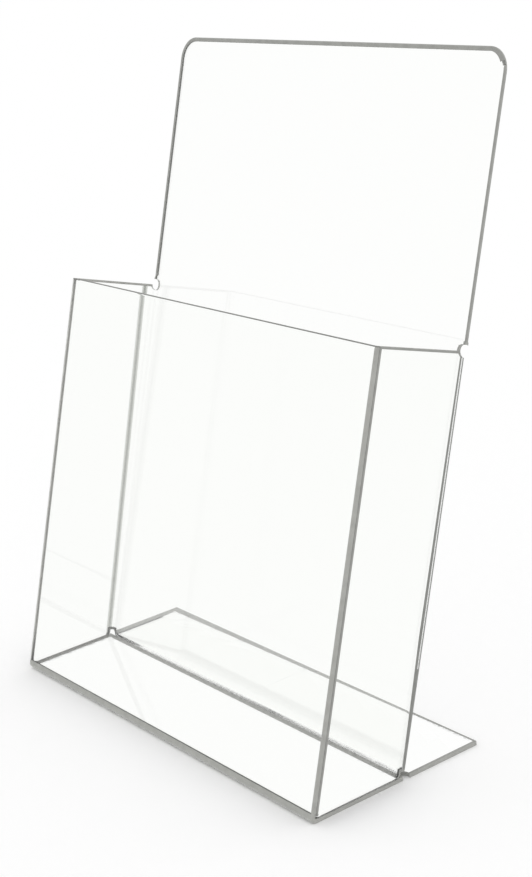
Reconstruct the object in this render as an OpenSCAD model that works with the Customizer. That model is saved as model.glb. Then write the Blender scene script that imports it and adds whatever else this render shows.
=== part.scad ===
// Leaning literature holder for A4 pages, line-bent from two sheets of clear acrylic.
// Back sheet: back panel, two wings that turn forward as the pocket's sides, and a foot.
// Front sheet: front panel and pocket floor. The wings are cemented to both.
// +Z is up, the pocket opens up and faces -Y, and the origin is on the table under the
// middle of the holder's box.

/* [Sheet] */
// Thickness of both acrylic sheets
sheet_t = 2; // [1.5:0.5:3]
// Inside radius of every line bend
bend_r = 0.5; // [0.25:0.25:2]
// Angle that the panels lean back from upright
lean = 16; // [10:0.5:20]

/* [Back sheet] */
// Width over the outside of the holder
holder_w = 220; // [150:1:320]
// Length of the back panel up its slope, from its corner with the foot to its top edge
back_l = 299; // [230:1:380]
// Radius of the two top corners of the back panel
corner_r = 10; // [4:1:30]
// Length of the foot along the table, from its corner with the back panel
foot_l = 41.5; // [25:0.5:70]
// Diameter of the relief holes where a bend starts or two bends meet
relief_d = 5.5; // [5:0.25:7]

/* [Pocket] */
// Clear depth of the pocket, square to its panels
pocket_d = 45; // [20:0.5:70]
// Length of the front panel up its slope, from its corner with the floor to the rim
front_l = 192; // [110:1:220]
// Cement gap round the bends, where a wing's corner and the floor's rear edge meet them
cement_gap = 0.1; // [0.05:0.05:0.3]

/* [Hidden] */
clear_acrylic = [0.88, 0.91, 0.89, 0.5];
bend_fn = 96;
relief_fn = 48;
past = 1;                                    // how far a cutter runs past what it cuts

half_w = holder_w / 2;
bend_ro = bend_r + sheet_t;                  // outside radius of a bend
base_turn = 90 + lean;                       // angle of the bends between panel and base

// The two panels' lengths are measured from the corner where the middles of panel and base
// would meet if the bend were sharp. The bend's axis is this far from that corner.
base_set = (bend_r + sheet_t / 2) * tan(base_turn / 2);
back_flat = back_l - base_set;
front_flat = front_l - base_set;

panel_pitch = pocket_d + sheet_t;            // between the two leaning panels, square to them
panel_run = panel_pitch / cos(lean);         // the same, measured along the table
panel_rise = panel_pitch * tan(lean);        // how much higher up the slope the back panel starts
rim_z = front_flat - panel_rise;             // rim level up the back panel

// The box from the front bend to the back panel's top edge or the foot is centred on y = 0.
rear_edge = max(back_flat * sin(lean) - bend_r * cos(lean), foot_l - base_set);
front_y = (bend_ro - panel_run - rear_edge) / 2;
back_y = front_y + panel_run;

wing_bend_x = half_w - bend_ro;              // axes of the wings' bends
wing_bend_y = -bend_r - bend_ro;
wing_front = -bend_ro - pocket_d;            // front edge of a wing, on the front panel

// Height up the back panel's slope of a point at depth y square to it and height z over the table
function up_slope(y, z) = (z - bend_ro + y * sin(lean)) / cos(lean);

// Places children on the axis of a base bend, halfway between the slope of its panel and the
// table. Panel and base each turn half the lean from there, so they meet the bend exactly.
module on_bend(bend_y) {
    translate([0, bend_y, bend_ro]) rotate([-lean / 2, 0, 0]) children();
}

// Frame of a panel: x across, y square to the panel, z up its slope from the bend's axis
module on_slope(bend_y) {
    on_bend(bend_y) rotate([-lean / 2, 0, 0]) children();
}

// Frame of a base: x across, y back along the table and z up, from the bend's axis
module on_base(bend_y) {
    on_bend(bend_y) rotate([lean / 2, 0, 0]) children();
}

// Extrudes a profile drawn in y and z along x
module along_x(length) {
    translate([-length / 2, 0, 0]) rotate([90, 0, 90]) linear_extrude(length) children();
}

// A sheet's bend and base: a tube round the bend's axis, cut off where panel and base start
module base(bend_y, base_flat) {
    cut_w = holder_w + 2 * past;
    cut_l = bend_ro + past;
    difference() {
        on_slope(bend_y) along_x(holder_w) difference() {
            circle(bend_ro, $fn = bend_fn);
            circle(bend_r, $fn = bend_fn);
        }
        on_slope(bend_y) translate([-cut_w / 2, -cut_l, 0]) cube([cut_w, 2 * cut_l, cut_l]);
        on_base(bend_y) translate([-cut_w / 2, 0, -cut_l]) cube([cut_w, cut_l, 2 * cut_l]);
    }
    on_base(bend_y) translate([-half_w, 0, -bend_ro]) cube([holder_w, base_flat, sheet_t]);
}

// Outline of the back panel above the rim, with rounded top corners
module back_top_outline() {
    side_l = back_flat - corner_r;
    translate([-half_w, rim_z]) square([holder_w, side_l - rim_z]);
    translate([corner_r - half_w, side_l - past]) square([holder_w - 2 * corner_r, corner_r + past]);
    for (side = [-1, 1])
        translate([side * (half_w - corner_r), side_l]) circle(corner_r, $fn = bend_fn);
}

// Back panel. Below the rim it is only as wide as the flat between the wings' bends.
module back_panel() {
    translate([0, -bend_r, 0]) rotate([90, 0, 0]) linear_extrude(sheet_t) back_top_outline();
    translate([-wing_bend_x, -bend_ro, 0]) cube([2 * wing_bend_x, sheet_t, rim_z + past]);
}

// Side of the pocket. Its front edge meets the front panel, its lower edge stands on the floor,
// and its lower front corner is rounded to clear the bend between them.
module wing_outline() {
    round_r = bend_r + cement_gap;
    corner_z = up_slope(wing_front, sheet_t) + round_r * tan(base_turn / 2);
    steps = 12;
    polygon(concat(
        [[wing_front, rim_z], [wing_bend_y, rim_z], [wing_bend_y, up_slope(wing_bend_y, sheet_t)]],
        [for (i = [0:steps]) let (a = lean - 90 - base_turn * i / steps)
            [wing_front + round_r + round_r * cos(a), corner_z + round_r * sin(a)]]));
}

// Right wing with its bend
module wing() {
    translate([half_w - sheet_t / 2, 0, 0]) along_x(sheet_t) wing_outline();
    translate([wing_bend_x, wing_bend_y, 0]) rotate_extrude(angle = 90, $fn = bend_fn)
        translate([bend_r, 0]) square([sheet_t, rim_z]);
}

// Hole through a wing's bend, square to its middle, at height z up the slope
module bend_relief(z) {
    translate([wing_bend_x, wing_bend_y, z]) rotate([0, 90, 45])
        cylinder(h = 2 * bend_ro, d = relief_d, $fn = relief_fn);
}

// Hole that takes the lower rear corner off a wing, where its bend meets the foot's
module wing_relief() {
    translate([half_w - sheet_t - past / 2, wing_bend_y, up_slope(wing_bend_y, bend_ro)])
        rotate([0, 90, 0]) cylinder(h = sheet_t + past, d = relief_d, $fn = relief_fn);
}

module back_sheet() {
    color(clear_acrylic) difference() {
        union() {
            on_slope(back_y) {
                back_panel();
                wing();
                mirror([1, 0, 0]) wing();
            }
            base(back_y, foot_l - base_set);
        }
        on_slope(back_y) for (side = [0, 1]) mirror([side, 0, 0]) {
            bend_relief(rim_z);
            bend_relief(0);
            wing_relief();
        }
    }
}

module front_sheet() {
    floor_flat = panel_run - sqrt(pow(bend_ro, 2) - pow(bend_r, 2)) - cement_gap;
    color(clear_acrylic) {
        on_slope(front_y) translate([-half_w, -bend_ro, 0])
            cube([holder_w, sheet_t, front_flat]);
        base(front_y, floor_flat);
    }
}

back_sheet();
front_sheet();
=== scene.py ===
import math

import bpy
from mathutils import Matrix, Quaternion, Vector


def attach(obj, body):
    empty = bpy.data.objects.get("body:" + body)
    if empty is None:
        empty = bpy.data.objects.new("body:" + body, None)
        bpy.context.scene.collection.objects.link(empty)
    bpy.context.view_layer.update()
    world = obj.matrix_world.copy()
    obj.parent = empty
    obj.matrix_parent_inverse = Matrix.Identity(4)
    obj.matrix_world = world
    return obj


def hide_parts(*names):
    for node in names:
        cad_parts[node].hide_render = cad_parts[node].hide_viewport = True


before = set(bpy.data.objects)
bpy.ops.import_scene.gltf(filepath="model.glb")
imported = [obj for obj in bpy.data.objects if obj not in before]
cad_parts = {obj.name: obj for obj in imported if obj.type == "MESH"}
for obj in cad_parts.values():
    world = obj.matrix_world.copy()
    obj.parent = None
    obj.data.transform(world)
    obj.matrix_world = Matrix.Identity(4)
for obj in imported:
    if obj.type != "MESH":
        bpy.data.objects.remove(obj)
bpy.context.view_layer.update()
scene = bpy.context.scene

# ---- Camera -------------------------------------------------------------------------------
# Three quarters of a metre from the holder, on its right-hand front side and a little above
# its top edge, with a short telephoto lens and tilted slightly to one side.
aim = Vector((0.03945, -0.01889, 0.13589))
azimuth, elevation, roll = math.radians(53.8625), math.radians(17.8059), math.radians(-5.6347)
distance = 0.75779
back_to_eye = Vector((math.sin(azimuth) * math.cos(elevation),
                      -math.cos(azimuth) * math.cos(elevation),
                      math.sin(elevation)))
camera = bpy.data.objects.new("camera", bpy.data.cameras.new("camera"))
scene.collection.objects.link(camera)
camera.location = aim + back_to_eye * distance
camera.rotation_mode = "QUATERNION"
camera.rotation_quaternion = back_to_eye.to_track_quat("Z", "Y") @ Quaternion((0, 0, 1), roll)
camera.data.lens = 74.025
camera.data.clip_start = 0.01
camera.data.clip_end = 60
scene.camera = camera
scene.view_settings.view_transform = "Standard"

# ---- Studio -------------------------------------------------------------------------------
# A matt white sweep under the holder, in a white room that lights it evenly from all round.
# It takes the holder's soft shadow, and is plain white where a sheet mirrors it or lets it be
# seen through.
bpy.ops.mesh.primitive_plane_add(size=40, location=(0, 0, 0))
floor = bpy.context.object
floor.name = "floor"
paper = bpy.data.materials.new("white_sweep")
paper.use_nodes = True
nodes, links = paper.node_tree.nodes, paper.node_tree.links
nodes.clear()
out = nodes.new("ShaderNodeOutputMaterial")
matt = nodes.new("ShaderNodeBsdfDiffuse")
matt.inputs["Color"].default_value = (1, 1, 1, 1)
plain = nodes.new("ShaderNodeEmission")
plain.inputs["Color"].default_value = (1, 1, 1, 1)
path = nodes.new("ShaderNodeLightPath")
through = nodes.new("ShaderNodeMath")
through.operation = "MAXIMUM"
links.new(path.outputs["Is Transmission Ray"], through.inputs[0])
links.new(path.outputs["Is Glossy Ray"], through.inputs[1])
seen = nodes.new("ShaderNodeMixShader")
links.new(through.outputs[0], seen.inputs["Fac"])
links.new(matt.outputs[0], seen.inputs[1])
links.new(plain.outputs[0], seen.inputs[2])
links.new(seen.outputs[0], out.inputs["Surface"])
floor.data.materials.append(paper)

room = bpy.data.worlds.new("room")
scene.world = room
room.use_nodes = True
nodes, links = room.node_tree.nodes, room.node_tree.links
nodes.clear()
out = nodes.new("ShaderNodeOutputWorld")
light = nodes.new("ShaderNodeBackground")
light.inputs["Color"].default_value = (1, 1, 1, 1)
light.inputs["Strength"].default_value = 1.0
links.new(light.outputs[0], out.inputs["Surface"])

# Light that runs along inside a sheet is turned back by its faces many times before it leaves,
# so rays are followed that far.
scene.cycles.max_bounces = 160
scene.cycles.transmission_bounces = 160
scene.cycles.glossy_bounces = 160

# ---- Back sheet ---------------------------------------------------------------------------
# One blank of 2 mm clear cast acrylic, cut, drilled and line-bent over a hot wire: the panel
# that leans back, the wings that turn forward as the pocket's sides, and the foot behind. Its
# upper edges are flame-polished, and solvent cement holds the wings to the front sheet.
sheet_t = 0.002
bend_r = 0.0005                              # inside radius of every bend
lean = math.radians(16)
half_w = 0.110
back_l = 0.299                               # each length runs from the corner of its bend
front_l = 0.192
foot_l = 0.0415
pocket_d = 0.045
top_corner_r = 0.010
wing_corner_r = 0.0028                       # lower front corner of a wing, clear of the bend
seam = 0.00002                               # between the wings and the front sheet
slit = 0.0012                                # saw cut above and below a wing's bend
shoulder = 0.004                             # above the rim, where the side edges start

bend_ro = bend_r + sheet_t
mid_r = bend_r + sheet_t / 2
base_turn = math.radians(90) + lean          # the bends between a panel and its base
base_set = mid_r * math.tan(base_turn / 2)   # from the corner to where the flat starts
up = Vector((0, math.sin(lean), math.cos(lean)))
rearward = Vector((0, math.cos(lean), -math.sin(lean)))
back_flat = back_l - base_set
front_flat = front_l - base_set
foot_flat = foot_l - base_set
pitch = pocket_d + sheet_t
panel_run = pitch / math.cos(lean)
rim = front_flat - pitch * math.tan(lean)    # height of the pocket's rim up the back panel
rear_edge = max(back_flat * math.sin(lean) - bend_r * math.cos(lean), foot_flat)
front_y = (bend_ro - panel_run - rear_edge) / 2
back_y = front_y + panel_run
back_axis = Vector((0, back_y, bend_ro))
front_axis = Vector((0, front_y, bend_ro))
wing_x = half_w - bend_ro                    # axis of a wing's bend
wing_start = bend_r + bend_ro                # where a wing's flat starts, forward of the panel
skin_x = half_w - sheet_t / 2                # middle of a wing's thickness
base_steps, wing_steps = 12, 10              # facets round a bend


def pick(obj, mode, wanted):
    """Selects only the faces, edges or vertices of the mesh in edit mode that wanted() says yes to."""
    bpy.ops.mesh.select_mode(type=mode)
    bpy.ops.mesh.select_all(action="DESELECT")
    bpy.ops.object.mode_set(mode="OBJECT")
    mesh = obj.data
    where = {v.index: v.co.copy() for v in mesh.vertices}
    if mode == "VERT":
        for v in mesh.vertices:
            v.select = wanted(v.co)
    elif mode == "EDGE":
        for e in mesh.edges:
            e.select = all(wanted(where[i]) for i in e.vertices)
    else:
        for f in mesh.polygons:
            f.select = wanted(f.center)
    bpy.ops.object.mode_set(mode="EDIT")


def choose(obj):
    bpy.ops.object.select_all(action="DESELECT")
    obj.select_set(True)
    bpy.context.view_layer.objects.active = obj


def edit_all(obj):
    """Enters edit mode on one piece, with all of it selected."""
    choose(obj)
    bpy.ops.object.mode_set(mode="EDIT")
    bpy.ops.mesh.select_all(action="SELECT")


def finish_mesh(obj, name):
    bpy.ops.object.mode_set(mode="OBJECT")
    obj.name = name
    obj.data.name = name


def near(a, b):
    return abs(a - b) < 2e-5


def slope_of(co, axis):
    """How far up the panel's slope a point lies from the bend's axis, and how far behind it."""
    d = co - axis
    return d.dot(up), d.dot(rearward)


def grow(direction, *steps):
    """Extrudes what is selected, step by step."""
    for step in steps:
        bpy.ops.mesh.extrude_region_move(TRANSFORM_OT_translate={"value": direction * step})


def flat_base(y, length):
    """Starts a sheet as the middle of its thickness, with the part that lies on the table."""
    bpy.ops.object.select_all(action="DESELECT")
    bpy.ops.mesh.primitive_plane_add(size=1, location=(0, y + length / 2, sheet_t / 2))
    bpy.ops.transform.resize(value=(2 * half_w, length, 1))
    bpy.ops.object.transform_apply(location=True, rotation=True, scale=True)
    bpy.ops.object.mode_set(mode="EDIT")
    return bpy.context.object


# The foot, its bend and the panel, with a saw cut on either side above the wings
back = flat_base(back_y, foot_flat)
for x in (-wing_x, wing_x):
    bpy.ops.mesh.select_all(action="SELECT")
    bpy.ops.mesh.bisect(plane_co=(x, 0, 0), plane_no=(1, 0, 0))
pick(back, "EDGE", lambda c: near(c.y, back_y))
bpy.ops.mesh.spin(steps=base_steps, angle=base_turn, center=back_axis, axis=(1, 0, 0))
pick(back, "EDGE", lambda c: near(slope_of(c, back_axis)[0], 0) and slope_of(c, back_axis)[1] < 0)
grow(up, slit, rim - slit, slit, shoulder - slit, back_flat - rim - shoulder)
pick(back, "FACE", lambda c: abs(c.x) > wing_x and 0 < slope_of(c, back_axis)[0] < rim + slit
     and near(slope_of(c, back_axis)[1], -mid_r))
bpy.ops.mesh.delete(type="FACE")
pick(back, "FACE", lambda c: abs(c.x) > wing_x and c.y < back_y and slope_of(c, back_axis)[0] < 0)
bpy.ops.mesh.delete(type="FACE")

# The wings: each bend, the flat up to the front sheet, and the flat down to the floor
# Painted shade: a dark line is painted on the wing beside its bend, where the clear bend looks dark.
line_gap, line_w = 0.0002, 0.0009            # grey line on the wing beside its bend
line_end = wing_start + line_gap + line_w
wing_drop = 0.020                            # more than enough to reach the floor
for side in (1, -1):
    pick(back, "EDGE", lambda c: near(c.x, side * wing_x) and near(slope_of(c, back_axis)[1], -mid_r)
         and slit - 1e-5 < slope_of(c, back_axis)[0] < rim + 1e-5)
    turn_at = back_axis + Vector((side * wing_x, 0, 0)) - rearward * wing_start
    bpy.ops.mesh.spin(steps=wing_steps, angle=side * math.pi / 2, center=turn_at, axis=up)
    pick(back, "EDGE", lambda c: near(c.x, side * skin_x) and near(slope_of(c, back_axis)[1], -wing_start))
    grow(-rearward, line_gap, line_w, pocket_d - bend_r + seam - line_gap - line_w)
    pick(back, "EDGE", lambda c: near(c.x, side * skin_x) and near(slope_of(c, back_axis)[0], slit)
         and slope_of(c, back_axis)[1] < 1e-4 - line_end)
    grow(-up, wing_drop)
    pick(back, "FACE", lambda c: near(c.x, side * skin_x))
    bpy.ops.mesh.bisect(plane_co=(0, 0, sheet_t - seam), plane_no=(0, 0, 1), clear_inner=True)
pick(back, "VERT", lambda c: near(c.z, sheet_t - seam) and near(abs(c.x), skin_x)
     and slope_of(c, back_axis)[1] < -pocket_d)
bpy.ops.mesh.bevel(offset=wing_corner_r, segments=8, affect="VERTICES")
pick(back, "EDGE", lambda c: near(abs(c.x), wing_x) and slope_of(c, back_axis)[0] > rim + shoulder - 1e-5)
bpy.ops.mesh.dissolve_edges(use_verts=True)
pick(back, "VERT", lambda c: near(abs(c.x), half_w) and near(slope_of(c, back_axis)[0], back_flat))
bpy.ops.mesh.bevel(offset=top_corner_r, segments=16, affect="VERTICES")
finish_mesh(back, "back_panel_wings_and_foot")

# What both sheets are made of. The marks are the slow unevenness of a cast sheet, and the fine
# grain of wear and of the saw.
marks = bpy.data.node_groups.new("sheet_marks", "ShaderNodeTree")
marks.interface.new_socket("Wave", in_out="OUTPUT", socket_type="NodeSocketFloat")
marks.interface.new_socket("Grain", in_out="OUTPUT", socket_type="NodeSocketFloat")
given = marks.nodes.new("NodeGroupOutput")
spot = marks.nodes.new("ShaderNodeTexCoord")
for socket, scale, detail in (("Wave", 11, 1), ("Grain", 260, 5)):
    cloud = marks.nodes.new("ShaderNodeTexNoise")
    cloud.inputs["Scale"].default_value = scale
    cloud.inputs["Detail"].default_value = detail
    marks.links.new(spot.outputs["Object"], cloud.inputs["Vector"])
    marks.links.new(cloud.outputs["Fac"], given.inputs[socket])


def gloss_material(name):
    mat = bpy.data.materials.new(name)
    mat.use_nodes = True
    gloss = mat.node_tree.nodes["Principled BSDF"]
    gloss.inputs["IOR"].default_value = 1.49
    wear = mat.node_tree.nodes.new("ShaderNodeGroup")
    wear.node_tree = marks
    return mat, gloss, wear


def add_bump(mat, gloss, height, strength, distance):
    bump = mat.node_tree.nodes.new("ShaderNodeBump")
    bump.inputs["Strength"].default_value = strength
    bump.inputs["Distance"].default_value = distance
    mat.node_tree.links.new(height, bump.inputs["Height"])
    mat.node_tree.links.new(bump.outputs["Normal"], gloss.inputs["Normal"])


def lets_light_by(mat, shader):
    """Lets the room's light past a clear sheet, less what its faces turn back. Close to the table
    ever less gets by, so the seams where the holder stands keep their shadow."""
    nodes, links = mat.node_tree.nodes, mat.node_tree.links
    path = nodes.new("ShaderNodeLightPath")
    either = nodes.new("ShaderNodeMath")
    either.operation = "MAXIMUM"
    links.new(path.outputs["Is Shadow Ray"], either.inputs[0])
    links.new(path.outputs["Is Diffuse Ray"], either.inputs[1])
    by = nodes.new("ShaderNodeBsdfTransparent")
    where = nodes.new("ShaderNodeTexCoord")
    height = nodes.new("ShaderNodeSeparateXYZ")
    links.new(where.outputs["Object"], height.inputs[0])
    rise = nodes.new("ShaderNodeMapRange")
    rise.inputs["From Max"].default_value = 0.018
    rise.inputs["To Min"].default_value = 0.0
    rise.inputs["To Max"].default_value = 0.99
    links.new(height.outputs["Z"], rise.inputs["Value"])
    links.new(rise.outputs[0], by.inputs["Color"])
    mix = nodes.new("ShaderNodeMixShader")
    links.new(either.outputs[0], mix.inputs["Fac"])
    links.new(shader.outputs[0], mix.inputs[1])
    links.new(by.outputs[0], mix.inputs[2])
    links.new(mix.outputs[0], nodes["Material Output"].inputs["Surface"])


def clear_acrylic(name, tint):
    """Clear cast sheet: a little uneven, as it cooled, and with a faint haze of fine wear."""
    mat, gloss, uneven = gloss_material(name)
    gloss.inputs["Base Color"].default_value = (*tint, 1)
    gloss.inputs["Transmission Weight"].default_value = 1
    haze = mat.node_tree.nodes.new("ShaderNodeMapRange")
    haze.inputs["From Min"].default_value = 0.5
    haze.inputs["From Max"].default_value = 0.8
    haze.inputs["To Max"].default_value = 0.04
    mat.node_tree.links.new(uneven.outputs["Grain"], haze.inputs["Value"])
    mat.node_tree.links.new(haze.outputs[0], gloss.inputs["Roughness"])
    add_bump(mat, gloss, uneven.outputs["Wave"], strength=0.15, distance=0.0004)
    lets_light_by(mat, gloss)
    return mat


def painted_shade_and_saw_marks(name, shade):
    """Painted shade on an edge, bend or line: opaque grey standing in for the light that comes out along
    the sheet, with saw marks left.
    """
    mat, gloss, sawn = gloss_material(name)
    gloss.inputs["Roughness"].default_value = 0.35
    tone = mat.node_tree.nodes.new("ShaderNodeValToRGB")
    for stop, position, times in zip(tone.color_ramp.elements, (0.35, 0.65), (0.93, 1.07)):
        stop.position = position
        stop.color = (*(times * c for c in shade), 1)
    mat.node_tree.links.new(sawn.outputs["Grain"], tone.inputs["Fac"])
    mat.node_tree.links.new(tone.outputs["Color"], gloss.inputs["Base Color"])
    add_bump(mat, gloss, sawn.outputs["Grain"], strength=0.3, distance=0.0001)
    return mat


acrylic_tint = (0.985, 0.99, 0.98)
# Painted shade: the grey of the cut edges, standing in for light seen along the sheet.
painted_edge_grey = (0.37, 0.372, 0.35)
# Apart from the clear one, a sheet's slots are painted shade: grey for the dark lines round a bend, for
# the bands along the edges and for the cut edges, and one more painted dark mark.
clear, bend, band, cut, painted_shade_extra = range(5)     # order of a sheet's materials
for mat in (clear_acrylic("back_clear", acrylic_tint),
            painted_shade_and_saw_marks("back_bend_painted_lines", (0.22, 0.223, 0.21)),
            painted_shade_and_saw_marks("back_border_painted_shade", (0.30, 0.303, 0.285)),
            painted_shade_and_saw_marks("back_cut_edge_painted_shade", painted_edge_grey)):
    back.data.materials.append(mat)

# Bands of painted shade: opaque grey painted where light that ran inside the sheet comes out along its cut
# edges and bends. The skin is divided here, so that each band has faces of its own.
band_w = 0.001
second_band_w = 0.0009                       # a second band round the panel above the rim
foot_band_w, foot_band_taper = 0.0024, 0.0130
foot_side_band_w = 0.0038
soft_half_w = 0.0011                         # soft line inside the left wing
soft_across = (rearward * 160 + up * 3.5).normalized()      # it runs 3.5 mm forward in 160
soft_low = back_axis + up * 0.010 - rearward * 0.0048
lines_meet = 0.045                           # below this height the bend's two lines are one


def border(obj):
    """Sets off a band along all the skin's edges."""
    edit_all(obj)
    bpy.ops.mesh.remove_doubles(threshold=1e-6)
    bpy.ops.mesh.select_mode(type="FACE")
    bpy.ops.mesh.inset(thickness=band_w, use_boundary=True, use_even_offset=True)
    bpy.ops.object.mode_set(mode="OBJECT")
    for f in obj.data.polygons:
        if not f.select:
            f.material_index = band


border(back)
bpy.ops.object.mode_set(mode="EDIT")
pick(back, "FACE", lambda c: near(c.x, 0)
     and rim + shoulder < slope_of(c, back_axis)[0] < back_flat - band_w)
bpy.ops.mesh.inset(thickness=second_band_w, use_even_offset=True)
bpy.ops.object.mode_set(mode="OBJECT")
for f in back.data.polygons:
    if slope_of(f.center, back_axis)[0] > rim + shoulder + band_w and not f.select:
        f.material_index = band
bpy.ops.object.mode_set(mode="EDIT")
foot_end = Vector((0, back_y + foot_flat, 0))
foot_band_edge = foot_end - Vector((0, foot_band_w, 0))
for where, across in ((foot_band_edge, Vector((foot_band_taper, 1, 0))),
                      (foot_band_edge, Vector((-foot_band_taper, 1, 0))),
                      (Vector((half_w - foot_side_band_w, 0, 0)), Vector((1, 0, 0)))):
    pick(back, "FACE", lambda c: c.y > back_y and near(c.z, sheet_t / 2))
    bpy.ops.mesh.bisect(plane_co=where, plane_no=across)
for to_side in (-soft_half_w, soft_half_w):
    pick(back, "FACE", lambda c: near(c.x, skin_x) and slope_of(c, back_axis)[1] < -wing_start)
    bpy.ops.mesh.bisect(plane_co=soft_low + soft_across * to_side, plane_no=soft_across)
pick(back, "FACE", lambda c: c.x > wing_x
     and -wing_start - line_gap < slope_of(c, back_axis)[1] < -bend_r)
bpy.ops.mesh.bisect(plane_co=back_axis + up * lines_meet, plane_no=up)
bpy.ops.object.mode_set(mode="OBJECT")


def apply_modifiers(obj):
    choose(obj)
    for m in list(obj.modifiers):
        bpy.ops.object.modifier_apply(modifier=m.name)


def face_outward(obj):
    edit_all(obj)
    bpy.ops.mesh.normals_make_consistent(inside=False)
    bpy.ops.object.mode_set(mode="OBJECT")


def thicken(obj):
    """Gives a skin the sheet's thickness, half to either side."""
    face_outward(obj)
    wall = obj.modifiers.new("wall", "SOLIDIFY")
    wall.thickness = sheet_t
    wall.offset = 0
    wall.use_even_offset = True
    wall.use_quality_normals = True
    # The sheet's rim takes the cut slot, painted grey as painted shade.
    wall.material_offset_rim = cut
    apply_modifiers(obj)


def sharp_edges(obj, wanted):
    """Selects the sheet's cut edges, where wanted() says yes to both of their ends."""
    bpy.ops.mesh.select_mode(type="EDGE")
    bpy.ops.mesh.select_all(action="DESELECT")
    bpy.ops.mesh.edges_select_sharp(sharpness=math.radians(50))
    bpy.ops.object.mode_set(mode="OBJECT")
    mesh = obj.data
    keep = [e.index for e in mesh.edges
            if e.select and all(wanted(mesh.vertices[i].co) for i in e.vertices)]
    bpy.ops.object.mode_set(mode="EDIT")
    bpy.ops.mesh.select_all(action="DESELECT")
    bpy.ops.object.mode_set(mode="OBJECT")
    for i in keep:
        mesh.edges[i].select = True
    bpy.ops.object.mode_set(mode="EDIT")


def polish(obj, radius, wanted=lambda c: True):
    """Takes the sharpness off the cut edges that wanted() says yes to."""
    edit_all(obj)
    bpy.ops.transform.edge_bevelweight(value=-1)
    sharp_edges(obj, wanted)
    bpy.ops.transform.edge_bevelweight(value=1)
    bpy.ops.object.mode_set(mode="OBJECT")
    rounding = obj.modifiers.new("rounding", "BEVEL")
    rounding.width = radius
    rounding.segments = 4
    # The rounding takes the band slot, painted grey as painted shade.
    rounding.material = band
    rounding.limit_method = "WEIGHT"
    apply_modifiers(obj)
    face_outward(obj)


def drill(obj, centre, along, radius, length, turn=0.0):
    """Bores a hole from centre along a direction, by a cylinder that is cut away and deleted."""
    bpy.ops.mesh.primitive_cylinder_add(vertices=48, radius=radius, depth=length)
    bit = bpy.context.object
    bit.rotation_mode = "QUATERNION"
    bit.rotation_quaternion = along.to_track_quat("Z", "Y") @ Quaternion((0, 0, 1), turn)
    bit.location = centre + along.normalized() * (length / 2)
    for mat in obj.data.materials:
        bit.data.materials.append(mat)
    for f in bit.data.polygons:
        # The hole's wall takes the cut slot, painted grey as painted shade.
        f.material_index = cut
    hole = obj.modifiers.new("hole", "BOOLEAN")
    hole.object = bit
    hole.operation = "DIFFERENCE"
    hole.solver = "EXACT"
    apply_modifiers(obj)
    bpy.data.objects.remove(bit)


def smooth(obj):
    face_outward(obj)
    bpy.ops.object.shade_smooth_by_angle(angle=math.radians(40))
    flat = obj.modifiers.new("flat_faces", "WEIGHTED_NORMAL")
    flat.mode = "FACE_AREA"
    flat.weight = 100
    flat.keep_sharp = True
    apply_modifiers(obj)


flame_polish, sawn_edge = 0.0008, 0.0004     # roundings above the shoulder and below it
thicken(back)
polish(back, flame_polish, lambda c: slope_of(c, back_axis)[0] > rim + shoulder - 1e-5)
polish(back, sawn_edge, lambda c: slope_of(c, back_axis)[0] < rim + shoulder + 1e-5)

# Relief holes, drilled in the flat blank where a bend starts or two bends meet. After bending,
# each runs square to the panel on one side of the bend and square to the wing on the other.
# Their radii differ a little and the bits are turned, so that no two cuts share a corner.
panel_hole_r, wing_hole_r, foot_hole_r = 0.00275, 0.0027, 0.00272
past = 0.0002                                # how far a bit runs past either face of the panel
wing_bit_l, foot_bit_l = bend_ro + 0.001, bend_ro + 0.0008
half_turn = mid_r * math.pi / 4
hole_x = wing_x + half_turn
for height in (-mid_r * base_turn / 2, rim):
    level = back_axis + up * height
    drill(back, level + Vector((hole_x, 0, 0)) - rearward * (bend_ro + past), rearward,
          panel_hole_r, sheet_t + 2 * past)
    drill(back, level + Vector((wing_x + 0.0003, 0, 0)) - rearward * (wing_start - half_turn),
          Vector((1, 0, 0)), wing_hole_r, wing_bit_l, turn=0.05)
drill(back, Vector((hole_x, back_y - mid_r * base_turn / 2, -0.0005)), Vector((0, 0, 1)),
      foot_hole_r, foot_bit_l, turn=0.03)

# The left half is the mirror image of the right one
edit_all(back)
bpy.ops.mesh.bisect(plane_co=(0, 0, 0), plane_no=(1, 0, 0), clear_inner=True)
bpy.ops.object.mode_set(mode="OBJECT")
half = back.modifiers.new("other_half", "MIRROR")
half.merge_threshold = 1e-6
apply_modifiers(back)
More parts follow.
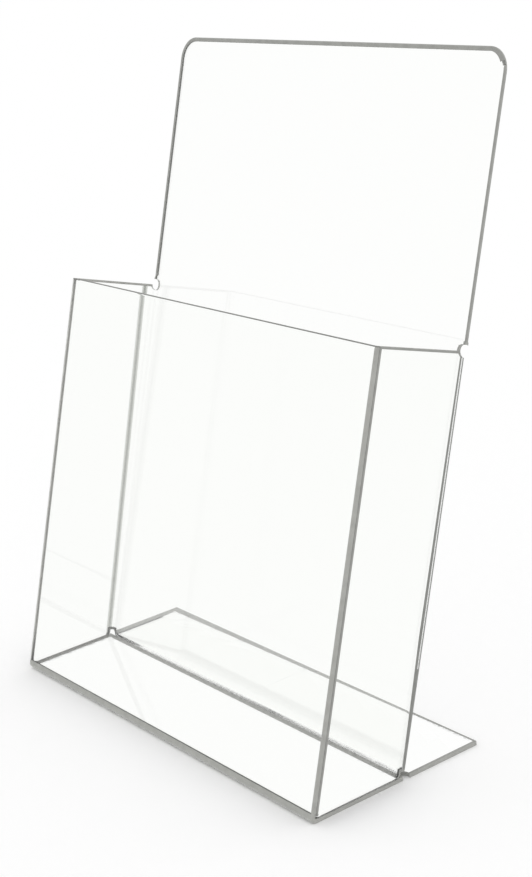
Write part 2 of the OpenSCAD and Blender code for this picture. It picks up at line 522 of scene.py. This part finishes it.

# Which bands are painted grey, as painted shade. The light gathers unevenly, and its shade is painted so:
# the right wing's bend gets two fine painted dark lines, the left wing a painted soft dark line inside its
# bend, and the foot a painted band that is wider on the left. The face of the right side edge that looks
# forward has none.
back.data.materials.append(clear_acrylic("back_painted_soft_line", (0.36, 0.37, 0.345)))
edge_zone = band_w + 0.0002
past_holes = 0.005                           # forward of the panel, where the holes have ended
bend_line_from, bend_line_to = 9, 60         # degrees round the right wing's bend
outer_face = (mid_r + bend_ro) / 2           # farther than this from a bend's axis
foot_top = sheet_t + 1e-4
side_low, side_high = rim + 0.006, back_flat - 0.0045
rounding_w = 0.0006                          # the rounded edge beside that face keeps its grey
bend_line_start = 0.001 - wing_start         # just round from the panel's rear face
for f in back.data.polygons:
    c = f.center
    above, behind = slope_of(c, back_axis)
    on_left, at_floor, at_rim = c.x < 0, c.z < sheet_t + edge_zone, above > rim - edge_zone
    if f.material_index == band and abs(c.x) > wing_x and behind < -past_holes and (
            at_floor or on_left and (behind < band_w - pocket_d or at_rim)):
        pale = at_rim or at_floor and c.x > 0.75 * sheet_t - half_w
        f.material_index = cut if on_left and pale else clear
    from_edge = half_w - c.x
    if f.material_index == band and behind < -mid_r and rounding_w < from_edge < top_corner_r and (
            side_low < above < side_high - 0.5 * from_edge):
        f.material_index = clear
    if f.material_index != clear:
        continue
    turn = math.degrees(math.atan2(behind + wing_start, c.x - wing_x))
    outside = math.hypot(behind + wing_start, c.x - wing_x) > outer_face
    forward = -behind - wing_start
    if c.x > wing_x and above < rim and (
            outside and bend_line_from < turn < bend_line_to
            or c.x > half_w - 1e-4 and line_gap < forward < line_gap + line_w
            or outside and above < lines_meet and bend_line_start < forward < line_gap + line_w):
        f.material_index = bend
    if c.x < sheet_t + 1e-5 - half_w and abs((c - soft_low).dot(soft_across)) < soft_half_w:
        f.material_index = painted_shade_extra
    if c.z < foot_top and c.y > back_y + 0.001 and (
            foot_end.y - c.y < foot_band_w - foot_band_taper * c.x or c.x < foot_side_band_w - half_w):
        f.material_index = band
smooth(back)

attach(back, "root")
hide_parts("back_sheet")

# ---- Front sheet --------------------------------------------------------------------------
# A plain oblong of the same 2 mm clear acrylic with one bend: the pocket's front panel and the
# floor that the wings stand on. It is cemented to the wings' front and lower edges.
joint_gap = 0.0001                           # between the floor's rear edge and the back's bend
floor_flat = panel_run - math.sqrt(bend_ro ** 2 - bend_r ** 2) - joint_gap
front = flat_base(front_y, floor_flat)
pick(front, "EDGE", lambda c: near(c.y, front_y))
bpy.ops.mesh.spin(steps=base_steps, angle=base_turn, center=front_axis, axis=(1, 0, 0))
pick(front, "EDGE", lambda c: near(slope_of(c, front_axis)[0], 0) and slope_of(c, front_axis)[1] < 0)
grow(up, front_flat)
finish_mesh(front, "front_panel_and_floor")
for mat in (clear_acrylic("front_clear", acrylic_tint),
            painted_shade_and_saw_marks("front_bend_painted_shade", (0.36, 0.365, 0.34)),
            painted_shade_and_saw_marks("front_border_painted_shade", (0.60, 0.603, 0.58)),
            painted_shade_and_saw_marks("front_cut_edge_painted_shade", painted_edge_grey)):
    front.data.materials.append(mat)

# Its bands of painted shade, in opaque grey: a painted dark strip round the bend, a strip where the
# floor's rear meets the back, the strip under the left wing, and the cut edges
# Painted shade: the dark strip round the bend reaches this far up the panel and this far in along the
# floor.
bend_shade_up, bend_shade_in = 0.0015, 0.001
joint_w = 0.0029
under_wing_w = 0.0038
floor_end = front_y + floor_flat
bpy.ops.object.mode_set(mode="EDIT")
pick(front, "FACE", lambda c: slope_of(c, front_axis)[0] > bend_r)
bpy.ops.mesh.bisect(plane_co=front_axis + up * bend_shade_up, plane_no=up)
for where, across in ((front_axis + Vector((0, bend_shade_in, 0)), Vector((0, 1, 0))),
                      (front_axis + Vector((0, floor_flat - joint_w, 0)), Vector((0, 1, 0))),
                      (Vector((under_wing_w - half_w, 0, 0)), Vector((1, 0, 0)))):
    pick(front, "FACE", lambda c: c.y > front_y and near(c.z, sheet_t / 2))
    bpy.ops.mesh.bisect(plane_co=where, plane_no=across)
bpy.ops.object.mode_set(mode="OBJECT")
for f in front.data.polygons:
    c = f.center
    if c.y < front_y + bend_shade_in and slope_of(c, front_axis)[0] < bend_shade_up:
        f.material_index = bend
    if c.z < sheet_t and (c.y > floor_end - joint_w
                          or c.x < under_wing_w - half_w and c.y > front_y + bend_shade_in):
        f.material_index = band
border(front)
for f in front.data.polygons:
    if abs(f.center.x) < 0.1 and slope_of(f.center, front_axis)[0] > front_flat - band_w:
        f.material_index = clear
thicken(front)
polish(front, sawn_edge)

# The painted grey is palest on the left edge and darkest on the top edge, as painted shade. The cement
# lets light through the floor's rear edge.
front.data.materials.append(painted_shade_and_saw_marks("front_top_edge_painted_shade", (0.17, 0.172, 0.162)))
panel_low = 0.004
for f in front.data.polygons:
    c = f.center
    if f.material_index == band and (c.x > 0 or c.z < panel_low):
        f.material_index = cut
    if f.material_index == cut and c.x < 0.0005 - half_w and c.z > panel_low:
        f.material_index = band
    if f.normal.y > 0.7 and abs(c.x) < 0.1 and c.z < sheet_t and c.y > floor_end - band_w:
        f.material_index = clear
    if (f.material_index != clear and slope_of(c, front_axis)[0] > front_flat - 0.0006
            and c.x > 0.001 - half_w):
        f.material_index = painted_shade_extra
smooth(front)

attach(front, "root")
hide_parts("front_sheet")
